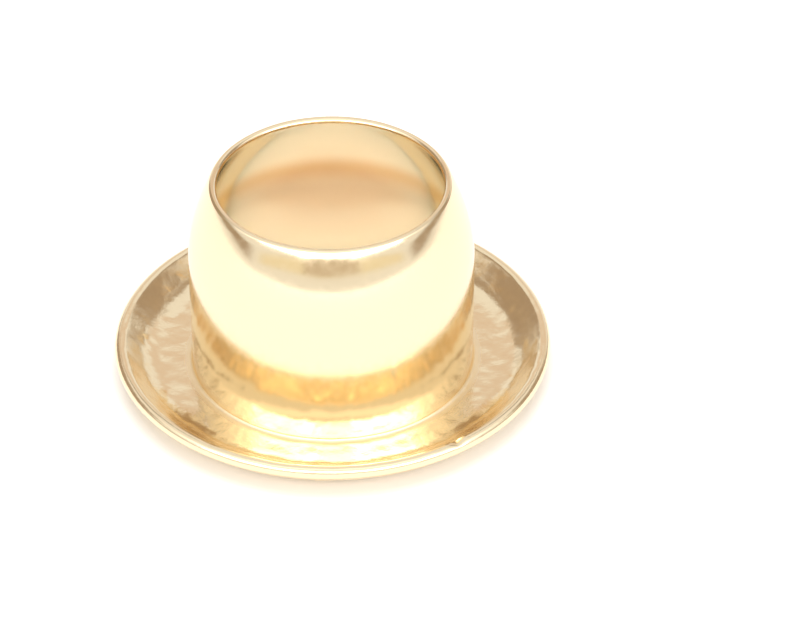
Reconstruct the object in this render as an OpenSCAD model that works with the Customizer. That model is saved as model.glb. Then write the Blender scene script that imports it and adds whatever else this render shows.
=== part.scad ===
// A one-piece eyelet drawn from brass sheet. A round barrel stands on a flat flange,
// the rim of the flange is turned up all the way round like a saucer, and the open
// end of the barrel draws in gently to a rounded lip.
// The section below is turned about Z. The face of the flange lies on Z = 0 with the
// lip uppermost. Sizes are in millimetres, turns are in degrees.

/* [Overall] */
// outer diameter of the flange, over the bead of its rim
flange_diameter = 8.05; // [7.6:0.05:10]
// from the face of the flange to the top of the lip
overall_height = 4.05; // [3.6:0.05:6]

/* [Flange] */
// thickness of the flange
flange_sheet = 0.2; // [0.14:0.01:0.22]
// width of the flat ring between the foot of the barrel and the bend of the rim
flat_width = 0.45; // [0.3:0.01:0.6]
// how far the rim is turned up from flat
rim_turn = 58; // [45:1:75]
// diameter of the rounded bead that ends the rim, a little thicker than the sheet
rim_bead = 0.26; // [0.23:0.01:0.32]

/* [Barrel] */
// outside diameter of the straight barrel, the size of the hole it fits
barrel_diameter = 5.2; // [4.3:0.1:5.6]
// thickness of the barrel, thinner than the flange since it is drawn
barrel_wall = 0.15; // [0.12:0.01:0.15]
// radius of the corner between barrel and flange
foot_radius = 0.05; // [0.04:0.01:0.14]
// radius that rounds the bore into the face of the flange
bore_entry_radius = 0.26; // [0.2:0.01:0.34]

/* [Curled lip] */
// how far the barrel draws in between its straight part and the lip
lip_draw = 0.41; // [0.2:0.01:0.5]
// how far the barrel has turned inward where the lip begins
curl_turn = 29; // [21:1:34]
// diameter of the rounded bead that ends the barrel, a little thicker than its wall
lip_bead = 0.16; // [0.16:0.01:0.24]

/* [Hidden] */
brass = "#e8cf8c";
facets = 256;
thousandths = 1000;

// radii and heights that follow from the sizes above
barrel_radius = barrel_diameter / 2;
bore_radius = barrel_radius - barrel_wall;
flat_start = barrel_radius + foot_radius;
flat_end = flat_start + flat_width;
foot_height = flange_sheet + foot_radius;

// the rim, followed along the middle of the sheet
rim_middle = flange_diameter / 2 - rim_bead / 2;
rim_radius = fine((rim_middle - flat_end) / sin(rim_turn));
rim_centre = [flat_end, flange_sheet / 2 + rim_radius];
rim_height = rim_centre[1] - rim_radius * cos(rim_turn);
flat_down = 270;

// the curl, followed along the middle of the wall
wall_middle = barrel_radius - barrel_wall / 2;
curl_radius = fine(lip_draw / (1 - cos(curl_turn)));
lip_height = overall_height - lip_bead / 2;
curl_start = lip_height - curl_radius * sin(curl_turn);
curl_centre = [wall_middle - curl_radius, curl_start];

// size rounded to a thousandth, so that a bend meets its straight neighbour with no step
function fine(size) = round(size * thousandths) / thousandths;

// point at a distance and a direction from a centre
function polar(centre, distance, direction) =
    centre + distance * [cos(direction), sin(direction)];

// stretch of bent sheet, from one direction to another as seen from its centre
module bend(centre, radius, thickness, from, to) {
    reach = radius + thickness;
    intersection() {
        difference() {
            translate(centre)
                circle(r = radius + thickness / 2, $fn = facets);
            translate(centre)
                circle(r = radius - thickness / 2, $fn = facets);
        }
        polygon([
            centre,
            polar(centre, reach, from),
            polar(centre, 2 * reach, (from + to) / 2),
            polar(centre, reach, to)
        ]);
    }
}

// rounded bead along an edge of the sheet
module bead(centre, diameter) {
    translate(centre)
        circle(d = diameter, $fn = facets);
}

// flat ring of the flange and its turned-up rim
module flange_section() {
    translate([bore_radius, 0])
        square([flat_end - bore_radius, flange_sheet]);
    bend(rim_centre, rim_radius, flange_sheet, flat_down, flat_down + rim_turn);
    bead([rim_middle, rim_height], rim_bead);
}

// corner between flange and barrel, filled out to the radius of its fillet
module foot_section() {
    difference() {
        translate([bore_radius, flange_sheet])
            square([flat_start - bore_radius, foot_radius]);
        translate([flat_start, foot_height])
            circle(r = foot_radius, $fn = facets);
    }
}

// straight wall, inward curl and beaded lip
module barrel_section() {
    translate([bore_radius, foot_height])
        square([barrel_wall, curl_start - foot_height]);
    bend(curl_centre, curl_radius, barrel_wall, 0, curl_turn);
    bead(polar(curl_centre, curl_radius, curl_turn), lip_bead);
}

// sharp corner that the rounded entry of the bore takes away
module entry_section() {
    difference() {
        translate([bore_radius, 0])
            square(bore_entry_radius);
        translate([bore_radius + bore_entry_radius, bore_entry_radius])
            circle(r = bore_entry_radius, $fn = facets);
    }
}

module eyelet() {
    color(brass)
        rotate_extrude($fn = facets)
            difference() {
                union() {
                    flange_section();
                    foot_section();
                    barrel_section();
                }
                entry_section();
            }
}

eyelet();
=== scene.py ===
import math
import bpy
from mathutils import Matrix, Vector


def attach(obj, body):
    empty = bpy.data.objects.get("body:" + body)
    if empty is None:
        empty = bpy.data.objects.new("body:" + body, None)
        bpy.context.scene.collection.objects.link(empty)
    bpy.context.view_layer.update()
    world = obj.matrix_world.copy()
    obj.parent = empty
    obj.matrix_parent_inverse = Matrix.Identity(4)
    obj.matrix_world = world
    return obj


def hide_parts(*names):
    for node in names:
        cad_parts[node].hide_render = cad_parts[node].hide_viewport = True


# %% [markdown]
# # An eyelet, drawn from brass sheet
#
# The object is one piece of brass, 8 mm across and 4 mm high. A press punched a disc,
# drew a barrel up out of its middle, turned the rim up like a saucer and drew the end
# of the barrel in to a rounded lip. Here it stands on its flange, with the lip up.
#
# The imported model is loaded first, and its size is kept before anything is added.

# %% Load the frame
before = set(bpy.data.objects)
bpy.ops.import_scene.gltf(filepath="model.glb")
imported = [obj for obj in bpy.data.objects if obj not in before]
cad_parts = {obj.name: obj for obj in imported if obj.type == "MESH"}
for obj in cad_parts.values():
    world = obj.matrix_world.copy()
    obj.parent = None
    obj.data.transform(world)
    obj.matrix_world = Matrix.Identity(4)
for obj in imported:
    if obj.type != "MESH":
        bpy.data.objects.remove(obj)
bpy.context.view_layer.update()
MM = 0.001

# %% [markdown]
# ## The camera
#
# The picture was taken from a little over 35 degrees above the table, from a few
# centimetres away. Those values come from fitting the ellipses of rim and lip. A
# camera object could be turned by three Euler angles, but the small ones would mix.
# Here it is built from its viewing direction, then turned a little to the left, up
# and over, because the eyelet doesn't lie in the middle of the frame.

# %% Camera
ELEVATION = math.radians(36.9)
DISTANCE = 57.6 * MM
TARGET_HEIGHT = 0.541 * MM
TURN_LEFT, TURN_UP, TURN_OVER = 0.0217, 0.0056, 0.0153
PIXELS_PER_MM, PICTURE_WIDTH, SENSOR = 54.0, 800, 36
NEAREST, FARTHEST = 1 * MM, 2000 * MM


def look(elevation, distance, height, left, up_turn, over):
    """Camera matrix that looks along +Y and down, turned by three small angles."""
    eye = Vector((0, -distance * math.cos(elevation), distance * math.sin(elevation) + height))
    forward = Vector((0, math.cos(elevation), -math.sin(elevation)))
    right = Vector((1, 0, 0))
    up = right.cross(forward)
    right, forward = (right * math.cos(left) - forward * math.sin(left),
                      right * math.sin(left) + forward * math.cos(left))
    up, forward = (up * math.cos(up_turn) - forward * math.sin(up_turn),
                   up * math.sin(up_turn) + forward * math.cos(up_turn))
    right, up = (right * math.cos(over) - up * math.sin(over),
                 right * math.sin(over) + up * math.cos(over))
    turn = Matrix((right, up, -forward)).transposed().to_4x4()
    return Matrix.Translation(eye) @ turn


bpy.ops.object.camera_add()
camera = bpy.context.object
camera.name = "camera"
camera.matrix_world = look(ELEVATION, DISTANCE, TARGET_HEIGHT, TURN_LEFT, TURN_UP, TURN_OVER)
camera.data.sensor_width = SENSOR
camera.data.lens = PIXELS_PER_MM * DISTANCE / MM * SENSOR / PICTURE_WIDTH
camera.data.clip_start, camera.data.clip_end = NEAREST, FARTHEST
bpy.context.scene.camera = camera
bpy.context.scene.view_settings.view_transform = "Standard"
print("lens", round(camera.data.lens, 1), "mm, standing",
      round(camera.location.length / MM, 1), "mm away")

# %% [markdown]
# ## A pen of one vertex
#
# On the real eyelet the wall is one sheet all the way: flat ring, turned-up rim,
# straight barrel, inward curl. Cylinders and tori could be joined, but their seams
# would show in a mirror finish. So the closed outline of the wall is drawn once and
# the whole eyelet is spun from it, as a press tool has it.
#
# The pen is a plane whose corners are merged into one vertex. A straight stroke is
# an extrusion of that vertex, and a bend is a small spin about the centre of the
# bend. It is drawn in millimetres, because distances for merging are then easy to
# choose, and made smaller afterwards.

# %% Pen
bpy.ops.object.select_all(action="DESELECT")
bpy.ops.mesh.primitive_plane_add(size=1, location=(0, 0, 0))
eyelet = bpy.context.object
eyelet.name = eyelet.data.name = "eyelet_brass"
bpy.ops.object.mode_set(mode="EDIT")
bpy.ops.mesh.select_all(action="SELECT")
bpy.ops.mesh.merge(type="CENTER")
bpy.ops.mesh.select_mode(type="VERT")


def straight(outwards, upwards, parts):
    """Draws a straight stroke from the pen's vertex, in so many parts."""
    step = (outwards / parts, 0, upwards / parts)
    for _ in range(parts):
        bpy.ops.mesh.extrude_region_move(TRANSFORM_OT_translate={"value": step})


def bend(centre, turn, parts):
    """Draws an arc about a centre in the section. A positive turn is anticlockwise."""
    bpy.ops.mesh.spin(steps=parts, angle=math.radians(turn), center=(centre[0], 0, centre[1]),
                      axis=(0, 1, 0))


print("pen of", len(eyelet.data.vertices), "corners before merging")

# %% [markdown]
# ## Sizes of the section
#
# The sizes are those of the solid part, in millimetres and degrees, but the height is
# 0.005 mm less, which leaves room for the waves of the lip. Three things are finer
# here. The lip ends in a bead as thick as the wall, since the light along the
# real lip shows no crease. The inside of the rim ends in a straight slope that runs
# into its bead, since the wide even band low on the barrel is a reflection of just
# such a slope. And the corner at the foot of the barrel is a little rounder.

# %% Sizes
BARREL_RADIUS, BORE_RADIUS, WALL = 2.6, 2.45, 0.15
SHEET, ENTRY_RADIUS, FOOT_RADIUS = 0.2, 0.26, 0.07
FLAT_START, FLAT_END = BARREL_RADIUS + FOOT_RADIUS, 3.1
RIM_RADIUS, RIM_TURN, RIM_SLOPE, RIM_BEAD = 0.937, 58, 45, 0.13
CURL_RADIUS, CURL_TURN, LIP_BEAD = 3.27, 29, 0.075
OVERALL_HEIGHT = 4.045


def polar(centre, distance, angle):
    """Point at a distance and a direction from a centre."""
    a = math.radians(angle)
    return centre[0] + distance * math.cos(a), centre[1] + distance * math.sin(a)


def direction(centre, point):
    """Direction from a centre to a point of the section, in degrees."""
    return math.degrees(math.atan2(point[1] - centre[1], point[0] - centre[0]))


def meeting(far, middle, bead):
    """Degrees from the sheet's end back to where its bead meets the sheet's surface."""
    cosine = (far ** 2 + middle ** 2 - bead ** 2) / (2 * far * middle)
    return math.degrees(math.acos(min(cosine, 1)))


rim_centre = (FLAT_END, SHEET / 2 + RIM_RADIUS)
rim_end = polar(rim_centre, RIM_RADIUS, RIM_TURN - 90)
curl_start = OVERALL_HEIGHT - LIP_BEAD - CURL_RADIUS * math.sin(math.radians(CURL_TURN))
curl_centre = (BARREL_RADIUS - WALL / 2 - CURL_RADIUS, curl_start)
lip_end = polar(curl_centre, CURL_RADIUS, CURL_TURN)
print("rim ends at", [round(v, 3) for v in rim_end], "lip at", [round(v, 3) for v in lip_end])

# %% [markdown]
# ## Flange and rim
#
# The pen starts at the face of the flange, where the bore's entry begins. It goes
# out along the face, bends up under the rim, round the bead and back down the
# inside. The inside slope leaves the bead as its tangent, so there is no crease, and
# a bend that starts where the flat ring ends takes it down to the ring.
#
# The top of the flat ring isn't quite flat: a press leaves a shallow ripple of a few
# thousandths of a millimetre, and it breaks up the reflection of the barrel. So the
# pen crosses the last part of the ring in small steps that rise and fall again.

# %% Flange, out along the face and back on top
FACE_PARTS, RIM_PARTS, BEAD_PARTS, SLOPE_PARTS, INSIDE_PARTS = 4, 18, 18, 6, 14
RIPPLE_STEP, RIPPLE_RISES = 0.075, (0.0015, 0.002, -0.002, -0.0015)
under = RIM_RADIUS + SHEET / 2
short_under = meeting(under, RIM_RADIUS, RIM_BEAD)
under_end = polar(rim_centre, under, RIM_TURN - 90 - short_under)
slope = math.radians(RIM_SLOPE)
slope_top = polar(rim_end, RIM_BEAD, RIM_SLOPE + 90)
corner = slope_top[0] - (slope_top[1] - SHEET) / math.tan(slope)
inside_radius = (corner - FLAT_END) / math.tan(slope / 2)
inside_centre = (FLAT_END, SHEET + inside_radius)
slope_foot = polar(inside_centre, inside_radius, RIM_SLOPE - 90)

bpy.ops.transform.translate(value=(BORE_RADIUS + ENTRY_RADIUS, 0, 0))
straight(FLAT_END - BORE_RADIUS - ENTRY_RADIUS, 0, FACE_PARTS)
bend(rim_centre, RIM_TURN - short_under, RIM_PARTS)
bend(rim_end, (direction(rim_end, slope_top) - direction(rim_end, under_end)) % 360, BEAD_PARTS)
straight(slope_foot[0] - slope_top[0], slope_foot[1] - slope_top[1], SLOPE_PARTS)
bend(inside_centre, -RIM_SLOPE, INSIDE_PARTS)
straight(FLAT_START - FLAT_END + RIPPLE_STEP * len(RIPPLE_RISES), 0, 2)
for rise in RIPPLE_RISES:
    straight(-RIPPLE_STEP, rise, 1)
print("inside of the rim bends with radius", round(inside_radius, 3), "mm")

# %% [markdown]
# ## Barrel, lip and bore
#
# From the ring a tight fillet turns the pen up the barrel. A drawn barrel stays
# straight where the punch ran through it and curls in slowly above, so the curl is a
# long arc and the lip its rounded end. Inside it is the same way down, to the wide
# radius over which the sheet was drawn into the bore.

# %% Barrel, up the outside, round the lip and down the bore
FILLET_PARTS, WALL_PARTS, CURL_PARTS, LIP_PARTS, BORE_PARTS, ENTRY_PARTS = 6, 20, 16, 14, 18, 8
MERGE = 0.001
outside, inside = CURL_RADIUS + WALL / 2, CURL_RADIUS - WALL / 2
short_outside = meeting(outside, CURL_RADIUS, LIP_BEAD)
short_inside = meeting(inside, CURL_RADIUS, LIP_BEAD)
lip_from = direction(lip_end, polar(curl_centre, outside, CURL_TURN - short_outside))
lip_to = direction(lip_end, polar(curl_centre, inside, CURL_TURN - short_inside))

bend((FLAT_START, SHEET + FOOT_RADIUS), -90, FILLET_PARTS)
straight(0, curl_start - SHEET - FOOT_RADIUS, WALL_PARTS)
bend(curl_centre, CURL_TURN - short_outside, CURL_PARTS)
bend(lip_end, (lip_to - lip_from) % 360, LIP_PARTS)
bend(curl_centre, short_inside - CURL_TURN, LIP_PARTS)
straight(0, ENTRY_RADIUS - curl_start, BORE_PARTS)
bend((BORE_RADIUS + ENTRY_RADIUS, ENTRY_RADIUS), 90, ENTRY_PARTS)
bpy.ops.mesh.select_all(action="SELECT")
bpy.ops.mesh.remove_doubles(threshold=MERGE)
bpy.ops.mesh.select_all(action="DESELECT")
bpy.ops.object.mode_set(mode="OBJECT")
print("section of", len(eyelet.data.vertices), "points and", len(eyelet.data.edges), "edges")

# %% [markdown]
# Under the rim the bead meets the sheet in a slight hollow. Tumbling rounds such a
# place, so the few points around it are selected by their distance and smoothed.

# %% Soften the hollow under the rim
HOLLOW_REACH, SMOOTHING, ROUNDS = 0.05, 0.5, 4
for v in eyelet.data.vertices:
    v.select = math.dist((v.co.x, v.co.z), under_end) < HOLLOW_REACH
softened = sum(v.select for v in eyelet.data.vertices)
bpy.ops.object.mode_set(mode="EDIT")
bpy.ops.mesh.vertices_smooth(factor=SMOOTHING, repeat=ROUNDS)
bpy.ops.object.mode_set(mode="OBJECT")
print("softened", softened, "points")

# %% [markdown]
# ## Spinning the eyelet
#
# The outline goes once round the axis in 360 steps, one for each degree, so that
# reflections run smoothly round it. The doubled seam is merged, and then the normals
# are recalculated, because a spin can leave a shape inside out. Last it is scaled
# from millimetres to metres, and the scale is applied, so that the piece is unscaled
# and patterns on its coordinates keep their size.

# %% Spin
STEPS_AROUND = 360
bpy.ops.object.mode_set(mode="EDIT")
bpy.ops.mesh.select_all(action="SELECT")
bpy.ops.mesh.spin(steps=STEPS_AROUND, angle=2 * math.pi, center=(0, 0, 0), axis=(0, 0, 1),
                  use_auto_merge=True)
bpy.ops.mesh.select_all(action="SELECT")
bpy.ops.mesh.remove_doubles(threshold=MERGE)
bpy.ops.mesh.normals_make_consistent(inside=False)
bpy.ops.object.mode_set(mode="OBJECT")
eyelet.scale = (MM, MM, MM)
bpy.ops.object.transform_apply(location=True, rotation=True, scale=True)
print("eyelet of", len(eyelet.data.polygons), "faces")

# %% [markdown]
# ## Unevenness of a tumbled part
#
# Thousands of these are tumbled together, so no surface is quite true. The flange
# carries small shallow dents all over, the barrel waves very slightly, and the lip,
# its thinnest edge, is a little out of round. A bump texture could fake it, but
# geometry also bends the outline and the reflections of one part in another. So
# Displace modifiers press a cloud texture into the mesh, each through a vertex group
# that fades out towards the parts that stay true.

# %% Uneven surfaces


def group(name, chosen):
    """Vertex group of the points that a rule on radius and height in mm chooses."""
    weights = eyelet.vertex_groups.new(name=name)
    for v in eyelet.data.vertices:
        weight = chosen(math.hypot(v.co.x, v.co.y) / MM, v.co.z / MM)
        if weight > 0:
            weights.add([v.index], weight, "REPLACE")


def ramp(value, start, end):
    """Rises from 0 to 1 between two values."""
    return min(max((value - start) / (end - start), 0), 1)


def uneven(name, size, height, chosen):
    """Presses soft dents of a size and height in mm into the chosen part."""
    dents = bpy.data.textures.new(name, "CLOUDS")
    dents.noise_scale = size * MM
    dents.noise_depth = 1
    group(name, chosen)
    press = eyelet.modifiers.new(name, "DISPLACE")
    press.texture = dents
    press.texture_coords = "LOCAL"
    press.vertex_group = name
    press.mid_level = 0.5
    press.strength = height * MM
    bpy.ops.object.modifier_apply(modifier=name)
    print(name, "up to", height / 2, "mm either way")


uneven("tumbled_ring", 0.3, 0.020,
       lambda r, z: ramp(r, 2.62, 2.7) * ramp(r, 4.0, 3.8) * ramp(z, 0.1, 0.18))
uneven("barrel_waves", 1.5, 0.005, lambda r, z: ramp(z, 0.5, 1.2))
uneven("lip_waves", 1.4, 0.016, lambda r, z: ramp(z, 3.3, 3.9))

# %% [markdown]
# ## Dents and a nick
#
# Parts knock together while they tumble. This one has a nick in the front right of
# its rim and five shallower dents on the flange. Each is a soft round hollow: the
# points near its middle are weighted by their distance and pushed down.

# %% Dents


def dent(name, place, radius, depth):
    """Pushes a soft round dent into the top of the flange, at a place in mm seen from above."""
    hollow = eyelet.vertex_groups.new(name=name)
    for v in eyelet.data.vertices:
        away = math.dist((v.co.x / MM, v.co.y / MM), place) / radius
        if away < 1 and v.normal.z > 0:
            hollow.add([v.index], (1 - away ** 2) ** 2, "REPLACE")
    push = eyelet.modifiers.new(name, "DISPLACE")
    push.vertex_group = name
    push.mid_level = 0
    push.direction = "Z"
    push.strength = -depth * MM
    bpy.ops.object.modifier_apply(modifier=name)
    print(name, depth, "mm deep")


dent("nick_front", (2.15, -3.24), 0.16, 0.04)
dent("dent_left", (-3.45, 0.3), 0.22, 0.02)
dent("dent_left_back", (-3.05, 1.2), 0.2, 0.012)
dent("dent_right", (3.3, 0.9), 0.2, 0.014)
dent("dent_right_front", (3.2, -1.0), 0.25, 0.014)
dent("dent_left_front", (-3.0, -1.3), 0.25, 0.012)

# %% [markdown]
# Every face is shaded smooth. Only edges sharper than 30 degrees would stay sharp,
# and a drawn and tumbled part has none.

# %% Smooth shading
SHARP = math.radians(30)
bpy.ops.object.shade_smooth_by_angle(angle=SHARP)
print("sharp edges:", sum(edge.use_edge_sharp for edge in eyelet.data.edges))

# %% [markdown]
# ## Nodes
#
# Three helpers are enough for every material. Colours are written as sRGB hex values,
# as a paint program shows them, and turned to the linear values a shader wants.
#
# A glowing material can light a scene like a lamp, and Blender then shares its
# samples between all that glows. The floor and the cards glow only to be seen, so
# every material is left out of that count.

# %% Colour and node helpers


def linear(hex_colour):
    """Linear RGBA of an sRGB hex colour."""
    parts = [int(hex_colour[i:i + 2], 16) / 255 for i in (1, 3, 5)]
    return [p / 12.92 if p <= 0.04045 else ((p + 0.055) / 1.055) ** 2.4 for p in parts] + [1]


def node(tree, kind, settings=None, links=None):
    """Adds a node, sets its properties or sockets, and links its inputs from other nodes."""
    n = tree.nodes.new(kind)
    for key, value in (settings or {}).items():
        if isinstance(key, str) and hasattr(n, key):
            setattr(n, key, value)
        else:
            n.inputs[key].default_value = value
    for key, source in (links or {}).items():
        tree.links.new(source, n.inputs[key])
    return n


def material(name):
    """New material with an empty node tree, whose glow isn't counted among the lamps."""
    finish = bpy.data.materials.new(name)
    finish.use_nodes = True
    finish.node_tree.nodes.clear()
    finish.cycles.emission_sampling = "NONE"
    return finish


# BARE is the brass itself; the browner colour beside it is painted shade for a band inside the bore
BARE, SHADE_BROWN = "#FBE7C2", "#EDC996"
print("bare brass in linear values:", [round(v, 3) for v in linear(BARE)])

# %% [markdown]
# ## Tumbled brass
#
# The real finish is bare yellow brass, drawn bright and then tumbled. To the eye it
# is a warm pale metal with soft mirror reflections: sharpest on the barrel, where
# the punch ironed it, and duller on the flange, where parts knock together.
#
# A single roughness would do for a lathe-turned part. Here a noise on object
# coordinates varies it, and through a bump the same noise shades the surface as if
# it rose and fell by a few thousandths of a millimetre. Real tumbling marks are
# finer; they are drawn 0.14 mm wide, so that they show at all in the picture.
#
# Nothing that tumbles along reaches into the corner at the foot of the barrel. There
# the brass stays as dull as the press left it, in a ring a tenth of a millimetre
# wide, and the corner shows as a soft change of tone and not as a crisp line.

# %% Brass: places on the piece
brass = material("tumbled_brass")
tree = brass.node_tree
coords = node(tree, "ShaderNodeTexCoord")
axes = node(tree, "ShaderNodeSeparateXYZ", None, {"Vector": coords.outputs["Object"]})
flatten = node(tree, "ShaderNodeVectorMath", {"operation": "MULTIPLY", 1: (1, 1, 0)},
               {0: coords.outputs["Object"]})
radius = node(tree, "ShaderNodeVectorMath", {"operation": "LENGTH"},
              {0: flatten.outputs["Vector"]})
print("radius and height are read from", len(tree.nodes), "nodes")

# %% Brass: grain and gloss
GRAIN, GRAIN_SPREAD = 0.14 * MM, (0.3, 0.7)
DRAWN_GLOSS, TUMBLED_EXTRA, FOOT_EXTRA = (0.1, 0.16), 0.06, 0.3
TUMBLED_FROM, TUMBLED_FULL = 2.6 * MM, 2.8 * MM
FOOT_FROM, FOOT_FULL, FOOT_FADES, FOOT_ENDS = 2.603 * MM, 2.61 * MM, 2.67 * MM, 2.78 * MM
grain = node(tree, "ShaderNodeTexNoise", {"Scale": 1 / GRAIN, "Detail": 3.0, "Roughness": 0.55},
             {"Vector": coords.outputs["Object"]})
gloss = node(tree, "ShaderNodeMapRange",
             {"From Min": GRAIN_SPREAD[0], "From Max": GRAIN_SPREAD[1],
              "To Min": DRAWN_GLOSS[0], "To Max": DRAWN_GLOSS[1]},
             {"Value": grain.outputs["Fac"]})
duller = node(tree, "ShaderNodeMapRange",
              {"From Min": TUMBLED_FROM, "From Max": TUMBLED_FULL,
               "To Min": 0.0, "To Max": TUMBLED_EXTRA},
              {"Value": radius.outputs["Value"]})
rubbed = node(tree, "ShaderNodeMath", {"operation": "ADD"},
              {0: gloss.outputs["Result"], 1: duller.outputs["Result"]})
into_corner = node(tree, "ShaderNodeMapRange",
                   {"From Min": FOOT_FROM, "From Max": FOOT_FULL,
                    "To Min": 0.0, "To Max": FOOT_EXTRA},
                   {"Value": radius.outputs["Value"]})
out_of_corner = node(tree, "ShaderNodeMapRange",
                     {"From Min": FOOT_FADES, "From Max": FOOT_ENDS,
                      "To Min": 1.0, "To Max": 0.0},
                     {"Value": radius.outputs["Value"]})
finish = node(tree, "ShaderNodeMath", {"operation": "MULTIPLY_ADD"},
              {0: into_corner.outputs["Result"], 1: out_of_corner.outputs["Result"],
               2: rubbed.outputs["Value"]})
print("roughness", DRAWN_GLOSS[0], "to", DRAWN_GLOSS[1] + TUMBLED_EXTRA, "and duller at the foot")

# %% Brass: relief of the grain
GRAIN_HEIGHT = 0.006 * MM
FLANGE_TOP, BARREL_TRUE, ON_FLANGE, ON_BARREL = 0.3 * MM, 0.9 * MM, 1.0, 0.03
low = node(tree, "ShaderNodeMapRange",
           {"From Min": FLANGE_TOP, "From Max": BARREL_TRUE,
            "To Min": ON_FLANGE, "To Max": ON_BARREL},
           {"Value": axes.outputs["Z"]})
press = node(tree, "ShaderNodeBump", {"Distance": GRAIN_HEIGHT},
             {"Height": grain.outputs["Fac"], "Strength": low.outputs["Result"]})
print("grain", round(GRAIN / MM, 2), "mm wide and", round(GRAIN_HEIGHT / MM, 3), "mm high")

# %% [markdown]
# Inside the bore a browner band runs round the lower part of the curl. It is painted
# shade: there the wall reflects the shaded front of the paper inside, and the browner
# colour darkens that reflection further. The band is a mask: inside a radius, and
# between two heights, with soft ends. It mixes the bare colour with a browner one.

# %% Brass: band of painted shade, and shader
BAND_LOW, BAND_MIDDLE, BAND_HIGH = 2.35 * MM, 2.75 * MM, 3.1 * MM
BORE_FACE, BEHIND_FACE = 2.46 * MM, 2.5 * MM
inside_bore = node(tree, "ShaderNodeMapRange",
                   {"From Min": BORE_FACE, "From Max": BEHIND_FACE, "To Min": 1.0, "To Max": 0.0},
                   {"Value": radius.outputs["Value"]})
rise = node(tree, "ShaderNodeMapRange",
            {"interpolation_type": "SMOOTHSTEP", "From Min": BAND_LOW, "From Max": BAND_MIDDLE},
            {"Value": axes.outputs["Z"]})
fall = node(tree, "ShaderNodeMapRange",
            {"interpolation_type": "SMOOTHSTEP", "From Min": BAND_MIDDLE, "From Max": BAND_HIGH,
             "To Min": 1.0, "To Max": 0.0},
            {"Value": axes.outputs["Z"]})
# the band paints shade into the colour of the curl inside the bore
shade_band = node(tree, "ShaderNodeMath", {"operation": "MULTIPLY"},
            {0: rise.outputs["Result"], 1: fall.outputs["Result"]})
shade_mask = node(tree, "ShaderNodeMath", {"operation": "MULTIPLY"},
            {0: shade_band.outputs["Value"], 1: inside_bore.outputs["Result"]})
# sockets 6 and 7 of a Mix node are its two colours, and output 2 is the mixed colour
painted_shade_mix = node(tree, "ShaderNodeMix", {"data_type": "RGBA", 6: linear(BARE), 7: linear(SHADE_BROWN)},
            {"Factor": shade_mask.outputs["Value"]})
shader = node(tree, "ShaderNodeBsdfPrincipled", {"Metallic": 1.0},
              {"Base Color": painted_shade_mix.outputs[2], "Roughness": finish.outputs["Value"],
               "Normal": press.outputs["Normal"]})
node(tree, "ShaderNodeOutputMaterial", None, {"Surface": shader.outputs["BSDF"]})
eyelet.data.materials.append(brass)
print("brass has", len(tree.nodes), "nodes")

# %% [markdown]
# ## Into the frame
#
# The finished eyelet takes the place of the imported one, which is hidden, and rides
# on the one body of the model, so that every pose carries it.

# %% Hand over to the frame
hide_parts("eyelet")
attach(eyelet, "root")
print("eyelet stands in for the packed part")

# %% [markdown]
# ## White floor
#
# The eyelet stands on matt white paper, which keeps its shadow. A large white plane
# with more light on it would do, but that light would bleach the brass as well. So
# the paper glows a little for the camera and for reflections, and only from about
# 4 mm outwards: near the rim the dark line of contact stays.

# %% Floor
FLOOR_RADIUS, FLOOR_CORNERS, PAPER_WHITE = 400 * MM, 96, "#FCFBFA"
GLOW, GLOW_FROM, GLOW_FULL = 0.46, 3.8 * MM, 4.25 * MM
bpy.ops.object.select_all(action="DESELECT")
bpy.ops.mesh.primitive_circle_add(vertices=FLOOR_CORNERS, radius=FLOOR_RADIUS, fill_type="NGON",
                                  location=(0, 0, 0))
floor = bpy.context.object
floor.name = floor.data.name = "floor"
paper = material("white_paper")
tree = paper.node_tree
diffuse = node(tree, "ShaderNodeBsdfDiffuse", {"Color": linear(PAPER_WHITE)})
place = node(tree, "ShaderNodeTexCoord")
away = node(tree, "ShaderNodeVectorMath", {"operation": "LENGTH"}, {0: place.outputs["Object"]})
fade = node(tree, "ShaderNodeMapRange",
            {"interpolation_type": "SMOOTHSTEP", "From Min": GLOW_FROM, "From Max": GLOW_FULL,
             "To Min": 0.0, "To Max": GLOW},
            {"Value": away.outputs["Value"]})
path = node(tree, "ShaderNodeLightPath")
seen = node(tree, "ShaderNodeMath", {"operation": "MAXIMUM"},
            {0: path.outputs["Is Camera Ray"], 1: path.outputs["Is Glossy Ray"]})
seen = node(tree, "ShaderNodeMath", {"operation": "MAXIMUM"},
            {0: seen.outputs["Value"], 1: path.outputs["Is Transmission Ray"]})
amount = node(tree, "ShaderNodeMath", {"operation": "MULTIPLY"},
              {0: seen.outputs["Value"], 1: fade.outputs["Result"]})
glow = node(tree, "ShaderNodeEmission", {"Color": (1, 1, 1, 1)},
            {"Strength": amount.outputs["Value"]})
both = node(tree, "ShaderNodeAddShader", None,
            {0: diffuse.outputs["BSDF"], 1: glow.outputs["Emission"]})
node(tree, "ShaderNodeOutputMaterial", None, {"Surface": both.outputs["Shader"]})
floor.data.materials.append(paper)
print("floor", round(2 * FLOOR_RADIUS / MM), "mm across")

# %% [markdown]
# ## White tent
#
# All round stands a white tent. The world plays it at three levels: full white for
# the camera, a little less for what metal reflects, and less still as light, because
# the lamps add their own.

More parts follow.
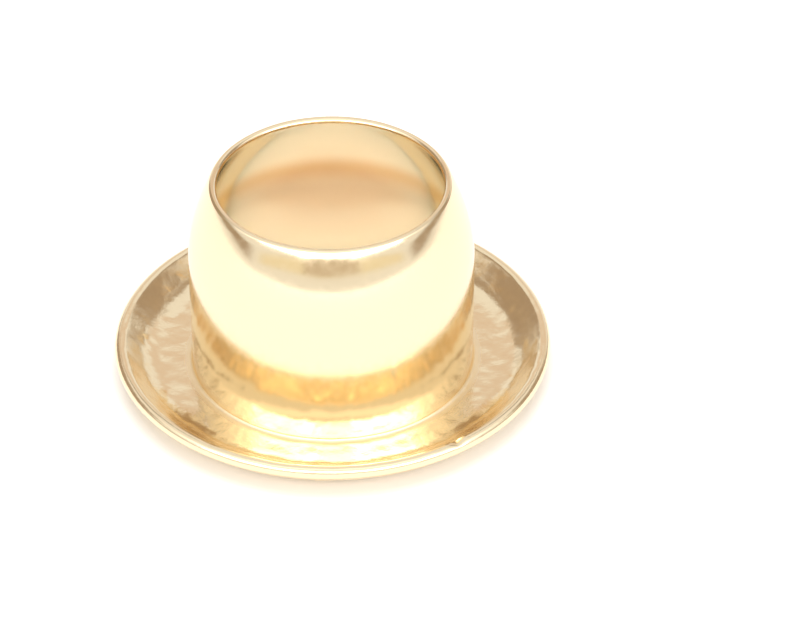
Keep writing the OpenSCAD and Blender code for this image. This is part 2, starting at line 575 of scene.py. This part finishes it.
# %% World
TENT_LIGHT, TENT_SEEN, TENT_REFLECTED = 0.40, 1.0, 0.9
world = bpy.data.worlds.new("white_tent")
bpy.context.scene.world = world
world.use_nodes = True
tree = world.node_tree
tree.nodes.clear()
path = node(tree, "ShaderNodeLightPath")
level = node(tree, "ShaderNodeMath",
             {"operation": "MULTIPLY_ADD", 1: TENT_SEEN - TENT_LIGHT, 2: TENT_LIGHT},
             {0: path.outputs["Is Camera Ray"]})
for ray in ("Is Glossy Ray", "Is Transmission Ray"):
    level = node(tree, "ShaderNodeMath",
                 {"operation": "MULTIPLY_ADD", 1: TENT_REFLECTED - TENT_LIGHT},
                 {0: path.outputs[ray], 2: level.outputs["Value"]})
tent = node(tree, "ShaderNodeBackground", {"Color": (1, 1, 1, 1)},
            {"Strength": level.outputs["Value"]})
node(tree, "ShaderNodeOutputWorld", None, {"Surface": tent.outputs["Background"]})
print("tent lights with", TENT_LIGHT, "and is seen as", TENT_SEEN)

# %% [markdown]
# ## Softboxes
#
# A mirror shows its surroundings, so the look of bright brass is made by placing
# them. Each bright zone of the metal says from which direction its light comes. The
# white pool low in front of the barrel is a bank of softboxes 20 to 40 degrees up,
# on the camera's side; the yellow band above it is weaker light from higher; the lip
# catches both.
#
# A helper gives the place in a direction as seen from the eyelet, another the size
# of a thing that looks so many degrees wide. A softbox is an area light whose power
# follows from the brightness it should have.

# %% Softboxes
BOX_REACH = 250 * MM


def toward(azimuth, elevation, reach):
    """Place seen from the eyelet in a direction. Azimuth 0 is the camera's side, 90 its right."""
    a, e = math.radians(azimuth), math.radians(elevation)
    return Vector((math.sin(a) * math.cos(e), -math.cos(a) * math.cos(e), math.sin(e))) * reach


def facing(place):
    """Turn of a lamp or card at a place so that it faces the eyelet."""
    return place.to_track_quat("Z", "Y").to_euler()


def spread(half_angle, reach):
    """Full width of a thing that looks so many degrees wide on each side of its middle."""
    return 2 * reach * math.tan(math.radians(half_angle))


def softbox(name, azimuth, elevation, half_width, half_height, radiance):
    """Area light that faces the eyelet, by its direction, its half angles and its brightness."""
    place = toward(azimuth, elevation, BOX_REACH)
    bpy.ops.object.light_add(type="AREA", location=place, rotation=facing(place))
    lamp = bpy.context.object
    lamp.name = name
    lamp.data.shape = "RECTANGLE"
    lamp.data.size, lamp.data.size_y = spread(half_width, BOX_REACH), spread(half_height, BOX_REACH)
    lamp.data.energy = radiance * math.pi * lamp.data.size * lamp.data.size_y
    print(name, round(lamp.data.size / MM), "x", round(lamp.data.size_y / MM), "mm,",
          round(lamp.data.energy, 3), "W")


softbox("softbox_left", -42, 32, 22, 10.5, 2.4)
softbox("softbox_middle", 0, 32, 22, 10.5, 2.4)
softbox("softbox_right", 42, 32, 22, 10.5, 3.0)
softbox("softbox_high", 0, 46, 60, 3.2, 1.0)
softbox("softbox_top", 0, 74, 60, 12, 0.42)
softbox("softbox_left_side", -82, 37, 18, 10, 0.2)
softbox("softbox_right_side", 82, 37, 18, 10, 0.2)

# %% [markdown]
# ## Cards
#
# Without something darker to reflect, bright brass looks like cream. So tan cards
# stand round it: a low card on each side draws the dark line along the lip, cards
# behind it make the brown patches on the far flange, and one in front gives the
# beige under the lip. Each card glows in its own colour instead of catching light,
# so that its tone is known, and fades out towards its edges, so that its reflection
# has a soft outline. The camera doesn't see them and they cast no shadow; only the
# metal shows them.

# %% Paint for the cards
TAN, BEIGE, CREAM, PINKISH = "#AB9885", "#CFBFAB", "#F2E8CE", "#E1CFC1"
SOFT_EDGE = 0.25


def card_paint(colour):
    """Material that glows in a colour and fades out to nothing at the edges of its sheet."""
    paint = material("card_" + colour[1:])
    tree = paint.node_tree
    place = node(tree, "ShaderNodeTexCoord")
    # the sheet's own UV map runs from 0 to 1, and here from -1 to 1 across the sheet
    across = node(tree, "ShaderNodeVectorMath",
                  {"operation": "MULTIPLY_ADD", 1: (2, 2, 0), 2: (-1, -1, 0)},
                  {0: place.outputs["UV"]})
    away = node(tree, "ShaderNodeVectorMath", {"operation": "ABSOLUTE"},
                {0: across.outputs["Vector"]})
    sides = node(tree, "ShaderNodeSeparateXYZ", None, {"Vector": away.outputs["Vector"]})
    edge = node(tree, "ShaderNodeMath", {"operation": "MAXIMUM"},
                {0: sides.outputs["X"], 1: sides.outputs["Y"]})
    cover = node(tree, "ShaderNodeMapRange",
                 {"interpolation_type": "SMOOTHSTEP",
                  "From Min": (1 - SOFT_EDGE) / (1 + SOFT_EDGE), "From Max": 1.0,
                  "To Min": 1.0, "To Max": 0.0},
                 {"Value": edge.outputs["Value"]})
    clear = node(tree, "ShaderNodeBsdfTransparent")
    glow = node(tree, "ShaderNodeEmission", {"Color": linear(colour), "Strength": 1.0})
    soft = node(tree, "ShaderNodeMixShader", None,
                {0: cover.outputs["Result"], 1: clear.outputs["BSDF"],
                 2: glow.outputs["Emission"]})
    node(tree, "ShaderNodeOutputMaterial", None, {"Surface": soft.outputs["Shader"]})
    return paint


paints = {colour: card_paint(colour) for colour in (TAN, BEIGE, CREAM, PINKISH)}
print(len(paints), "paints for the cards")

# %% Cards
FAR, NEARER = 240 * MM, 230 * MM


def only_in_metal(sheet, name, size, colour):
    """Names, sizes and paints a new plane that shows only in reflections."""
    sheet.name = sheet.data.name = name
    sheet.scale = Vector((size[0], size[1], 1)) * (1 + SOFT_EDGE)
    bpy.ops.object.transform_apply(location=True, rotation=True, scale=True)
    sheet.visible_camera = sheet.visible_diffuse = False
    sheet.visible_shadow = sheet.visible_transmission = False
    sheet.data.materials.append(paints[colour])


def card(name, azimuth, elevation, half_width, half_height, reach, colour):
    """Card that faces the eyelet, by its direction and its half angles."""
    place = toward(azimuth, elevation, reach)
    bpy.ops.mesh.primitive_plane_add(size=1, location=place, rotation=facing(place))
    only_in_metal(bpy.context.object, name,
                  (spread(half_width, reach), spread(half_height, reach)), colour)
    print(name, [round(v / MM) for v in place])


card("card_right_low", 107, 8.3, 37, 4.2, FAR, TAN)
card("card_left_low", -108, 8.3, 38, 4.2, FAR, TAN)
card("card_right_back", 116, 19.5, 16, 13.5, NEARER, TAN)
card("card_left_back", -124, 19.5, 24, 13.5, NEARER, TAN)
card("card_back", 180, 33, 38, 6.7, FAR, PINKISH)
card("card_front", 0, 15.5, 21, 4.8, NEARER, BEIGE)
card("card_front_wide", 0, 15, 60, 5.2, FAR, CREAM)

# %% [markdown]
# Two small cards stand close by, like flags on wires. Because they are near, the
# flange sees them in another direction than the lip does, and only the far flange
# turns brown.

# %% Flags


def flag(name, x, front, back, low, high, colour):
    """Small upright card close to the eyelet, by its place in millimetres."""
    middle = Vector((x, (front + back) / 2, (low + high) / 2)) * MM
    bpy.ops.mesh.primitive_plane_add(size=1, location=middle, rotation=(0, math.radians(90), 0))
    only_in_metal(bpy.context.object, name, ((high - low) * MM, (back - front) * MM), colour)
    print(name, "at x", x, "mm")


flag("flag_right", 8, 3.6, 9.2, 8.6, 16, TAN)
flag("flag_left", -8, 3.6, 12, 8.6, 16, TAN)

# %% [markdown]
# ## Light down the bore
#
# The bore of a bright eyelet glows, because the paper inside it is lit and its
# walls show that paper over and over. Light through a mouth 4 mm wide is mostly
# lost, so two narrow spots shine down it: a warm one from above and a cooler one
# from the camera's side that reaches the back. They don't show in the metal
# themselves, and most of their light goes down the bore.

# %% Bore lamps
BULB = 1.5 * MM


def bore_lamp(name, elevation, reach, cone, blend, watts, colour):
    """Narrow spot aimed at the mouth of the bore, with an edge that blends out."""
    place = toward(0, elevation, reach)
    mouth = Vector((0, 0, OVERALL_HEIGHT * MM))
    bpy.ops.object.light_add(type="SPOT", location=place + mouth, rotation=facing(place))
    lamp = bpy.context.object
    lamp.name = name
    lamp.data.energy = watts
    lamp.data.color = linear(colour)[:3]
    lamp.data.spot_size = math.radians(cone)
    lamp.data.spot_blend = blend
    lamp.data.shadow_soft_size = BULB
    lamp.visible_glossy = lamp.visible_camera = False
    print(name, watts, "W in a cone of", cone, "degrees")


bore_lamp("bore_lamp_top", 89, 20 * MM, 11.6, 0.1, 0.009, "#FFE8DC")
bore_lamp("bore_lamp_front", 63.5, 60 * MM, 4.6, 0.5, 0.06, "#C4F0FF")
